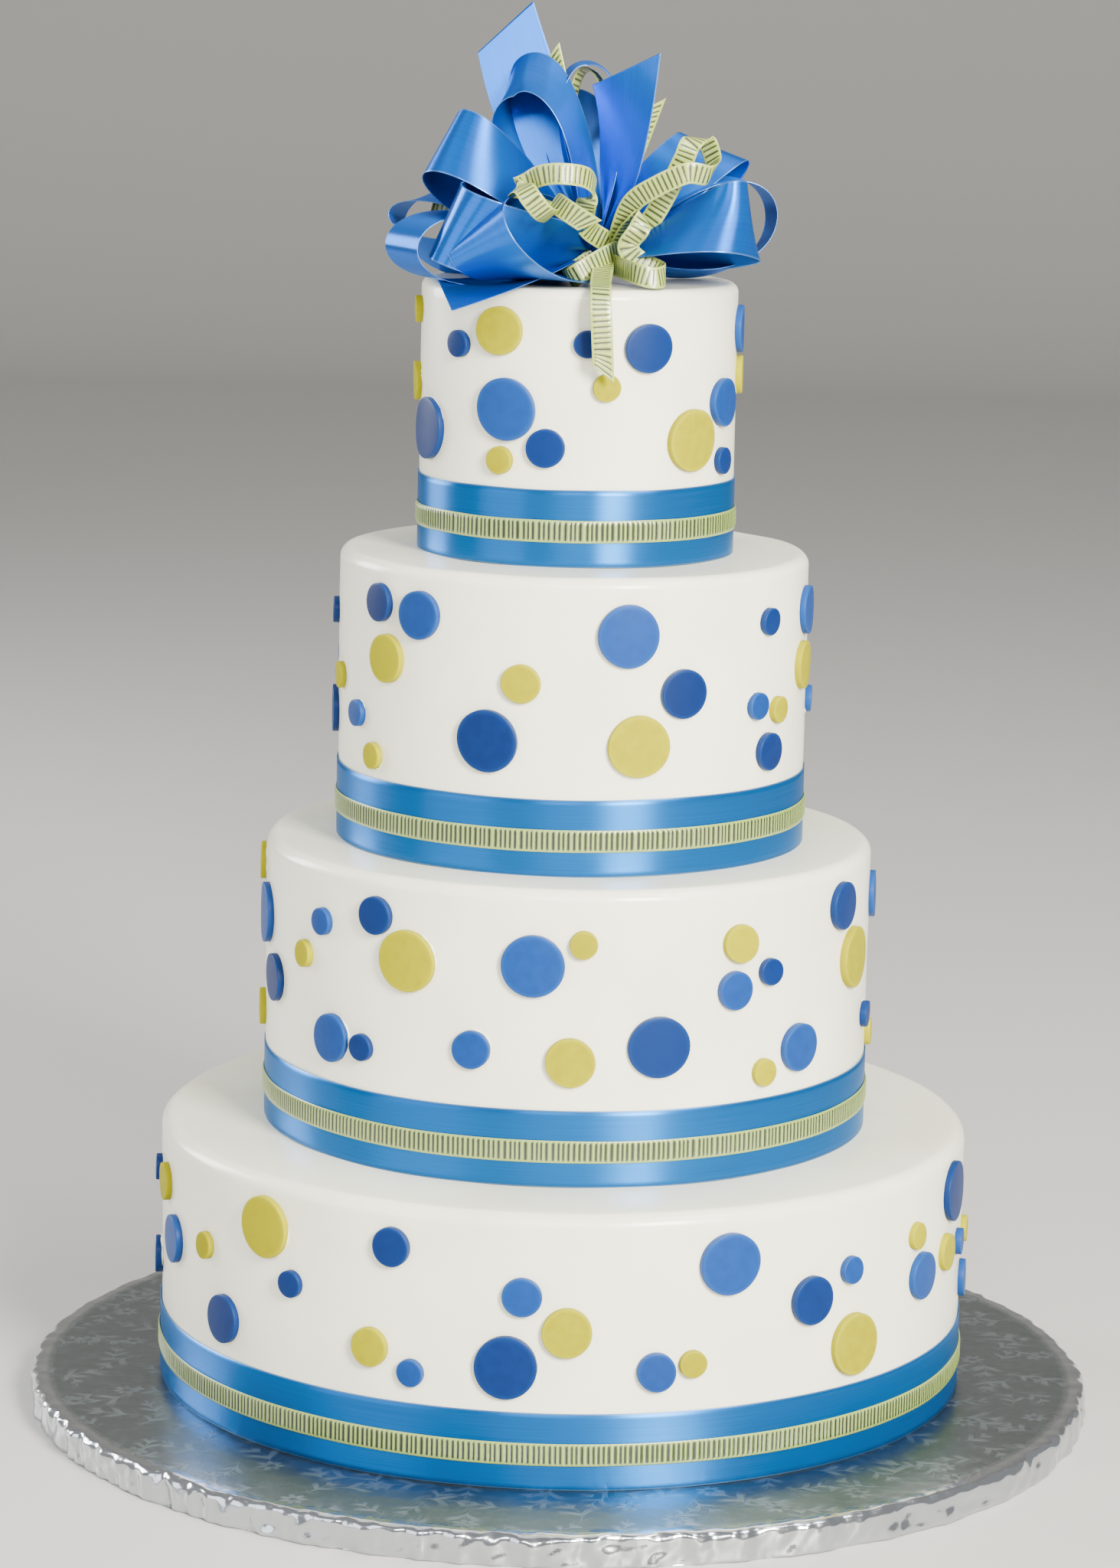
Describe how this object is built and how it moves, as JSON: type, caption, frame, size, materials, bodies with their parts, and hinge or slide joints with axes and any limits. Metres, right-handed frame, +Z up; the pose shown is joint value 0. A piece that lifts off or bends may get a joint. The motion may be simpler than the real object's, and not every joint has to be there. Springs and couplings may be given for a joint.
{
  "type": "tiered wedding cake",
  "caption": "Round white tiered wedding cake with sugar dots, ribbon bands round each tier and a ribbon bow on top, on a foil-covered drum board.",
  "frame": {"origin": "centre of the board's underside, where it stands on a table", "axes": "+Z up through the middle of every tier, -Y towards the cake's front, +X to its right as seen from the front"},
  "size_m": [0.544, 0.544, 0.7147],
  "materials": {
    "board_foil": "embossed silver foil",
    "icing": "smooth rolled sugar icing, soft sheen",
    "satin_ribbon": "blue satin",
    "grosgrain_ribbon": "pale green grosgrain",
    "dot_navy": "smooth sugar paste",
    "dot_blue": "smooth sugar paste",
    "dot_yellow": "smooth sugar paste"
  },
  "bodies": {
    "root": {"cake_board": "board_foil", "dot_01_blue": "dot_blue", "dot_02_navy": "dot_navy", "dot_03_blue": "dot_blue", "dot_04_yellow": "dot_yellow", "dot_05_navy": "dot_navy", "dot_06_navy": "dot_navy", "dot_07_blue": "dot_blue", "dot_08_blue": "dot_blue", "dot_09_yellow": "dot_yellow", "dot_10_yellow": "dot_yellow", "dot_11_yellow": "dot_yellow", "dot_12_yellow": "dot_yellow", "dot_13_navy": "dot_navy", "dot_14_yellow": "dot_yellow", "dot_15_navy": "dot_navy", "dot_16_blue": "dot_blue", "dot_17_yellow": "dot_yellow", "dot_18_blue": "dot_blue", "dot_19_yellow": "dot_yellow", "dot_20_blue": "dot_blue", "dot_21_blue": "dot_blue", "dot_22_blue": "dot_blue", "dot_23_navy": "dot_navy", "dot_24_navy": "dot_navy", "dot_25_yellow": "dot_yellow", "dot_26_yellow": "dot_yellow", "dot_27_blue": "dot_blue", "dot_28_navy": "dot_navy", "dot_29_yellow": "dot_yellow", "dot_30_navy": "dot_navy", "dot_31_yellow": "dot_yellow", "dot_32_yellow": "dot_yellow", "dot_33_navy": "dot_navy", "dot_34_navy": "dot_navy", "dot_35_yellow": "dot_yellow", "dot_36_navy": "dot_navy", "dot_37_blue": "dot_blue", "dot_38_blue": "dot_blue", "dot_39_blue": "dot_blue", "grosgrain_band_12in": "grosgrain_ribbon", "grosgrain_band_16in": "grosgrain_ribbon", "grosgrain_band_6in": "grosgrain_ribbon", "grosgrain_band_9in": "grosgrain_ribbon", "grosgrain_curl_left": "grosgrain_ribbon", "grosgrain_curl_right": "grosgrain_ribbon", "grosgrain_knot": "grosgrain_ribbon", "grosgrain_loop_left": "grosgrain_ribbon", "grosgrain_loop_top": "grosgrain_ribbon", "grosgrain_tail_left": "grosgrain_ribbon", "grosgrain_tail_right": "grosgrain_ribbon", "satin_band_12in": "satin_ribbon", "satin_band_16in": "satin_ribbon", "satin_band_6in": "satin_ribbon", "satin_band_9in": "satin_ribbon", "satin_bow": "satin_ribbon", "tier_12in": "icing", "tier_16in": "icing", "tier_6in": "icing", "tier_9in": "icing"}
  },
  "joints": []
}
